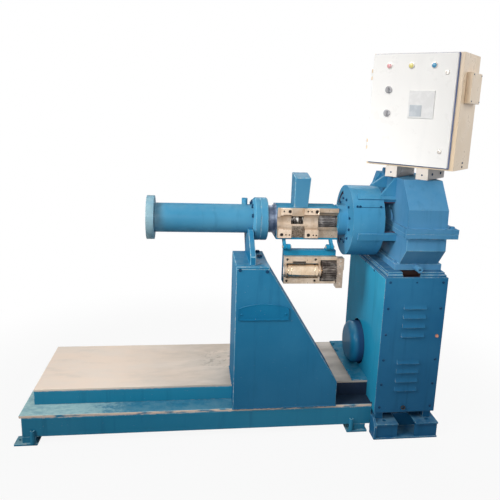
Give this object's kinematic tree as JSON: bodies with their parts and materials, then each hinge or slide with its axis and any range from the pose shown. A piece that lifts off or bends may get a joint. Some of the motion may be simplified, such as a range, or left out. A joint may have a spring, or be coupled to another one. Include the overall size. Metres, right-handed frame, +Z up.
{
  "type": "silicone rubber extruder",
  "caption": "Floor-standing rubber extruder: flanged barrel, screw with open swing-out feed roller, lantern housing, split gearbox on a motor cabinet, and a turned control panel.",
  "frame": {"origin": "on the floor under the middle of the whole machine", "axes": "+X along the barrel from the die flange to the gearbox, -Y to the operator, +Z up"},
  "size_m": [2.0774, 0.664, 1.8],
  "materials": {
    "blue_paint": "satin",
    "bare_sheet": "matt",
    "machined_face": "satin",
    "bright_steel": "satin",
    "dark_gear": "oiled",
    "black_neck": "matt",
    "panel_paint": "satin",
    "stand_paint": "satin",
    "lamp_plastic": "gloss",
    "black_plastic": "matt",
    "display_plastic": "gloss",
    "lock_metal": "polished"
  },
  "bodies": {
    "machine": {"base_rails": "blue_paint", "base_cross_members": "blue_paint", "lower_bed_plate": "blue_paint", "table_rails": "blue_paint", "table_cross_members": "blue_paint", "levelling_feet": "blue_paint", "post_face_plates": "blue_paint", "post_side_plates": "blue_paint", "post_top_plate": "blue_paint", "barrel_saddle": "blue_paint", "barrel": "blue_paint", "barrel_front_flange": "blue_paint", "barrel_rear_flange": "blue_paint", "feed_guide": "blue_paint", "lantern_housing": "blue_paint", "gearbox_lower_casing": "blue_paint", "gearbox_upper_casing": "blue_paint", "drain_plug": "blue_paint", "sole_plate": "blue_paint", "cabinet_side_panels": "blue_paint", "cabinet_covers": "blue_paint", "cabinet_floor": "blue_paint", "cabinet_top_plate": "blue_paint", "cabinet_feet": "blue_paint", "cabinet_bearers": "blue_paint", "motor_shelf": "blue_paint", "motor": "blue_paint", "motor_cowl": "blue_paint", "feed_block": "blue_paint", "table_end_strip": "blue_paint", "table_plate": "bare_sheet", "hinge_pin": "bright_steel", "feed_neck": "black_neck", "panel_enclosure": "panel_paint", "panel_side_box": "panel_paint", "panel_hinges": "panel_paint", "panel_rails": "stand_paint"},
    "roller_housing": {"roller_frame": "machined_face", "roller_housing_back": "blue_paint", "roller_bearing_caps": "machined_face", "roller_end_plate": "machined_face"},
    "feed_roller": {"feed_roller": "bright_steel", "roller_gear": "dark_gear"},
    "screw": {"screw": "bright_steel", "screw_gear": "dark_gear"},
    "panel_door": {"panel_door": "panel_paint", "pilot_lamps": "lamp_plastic", "panel_display": "display_plastic", "door_locks": "lock_metal"},
    "selector_upper": {"selector_upper": "black_plastic"},
    "selector_lower": {"selector_lower": "black_plastic"}
  },
  "joints": [
    {"name": "roller_housing_swing", "type": "hinge", "parent": "machine", "child": "roller_housing", "pos_m": [0.18326, -0.088, 0.892], "axis": [-1, 0, 0], "range_deg": [0, 180]},
    {"name": "feed_roller_spin", "type": "hinge", "parent": "roller_housing", "child": "feed_roller", "pos_m": [0.18326, -0.088, 0.774], "axis": [1, 0, 0], "continuous": true},
    {"name": "screw_spin", "type": "hinge", "parent": "machine", "child": "screw", "pos_m": [0.14226, 0, 1.01], "axis": [1, 0, 0], "continuous": true},
    {"name": "panel_door_swing", "type": "hinge", "parent": "machine", "child": "panel_door", "pos_m": [0.57724, -0.00108, 1.386], "axis": [0, 0, -1], "range_deg": [0, 110]},
    {"name": "selector_upper_turn", "type": "hinge", "parent": "panel_door", "child": "selector_upper", "pos_m": [0.63788, -0.07216, 1.638], "axis": [-0.6947, -0.7193, 0], "range_deg": [-45, 45]},
    {"name": "selector_lower_turn", "type": "hinge", "parent": "panel_door", "child": "selector_lower", "pos_m": [0.63788, -0.07216, 1.533], "axis": [-0.6947, -0.7193, 0], "range_deg": [-45, 45]}
  ]
}
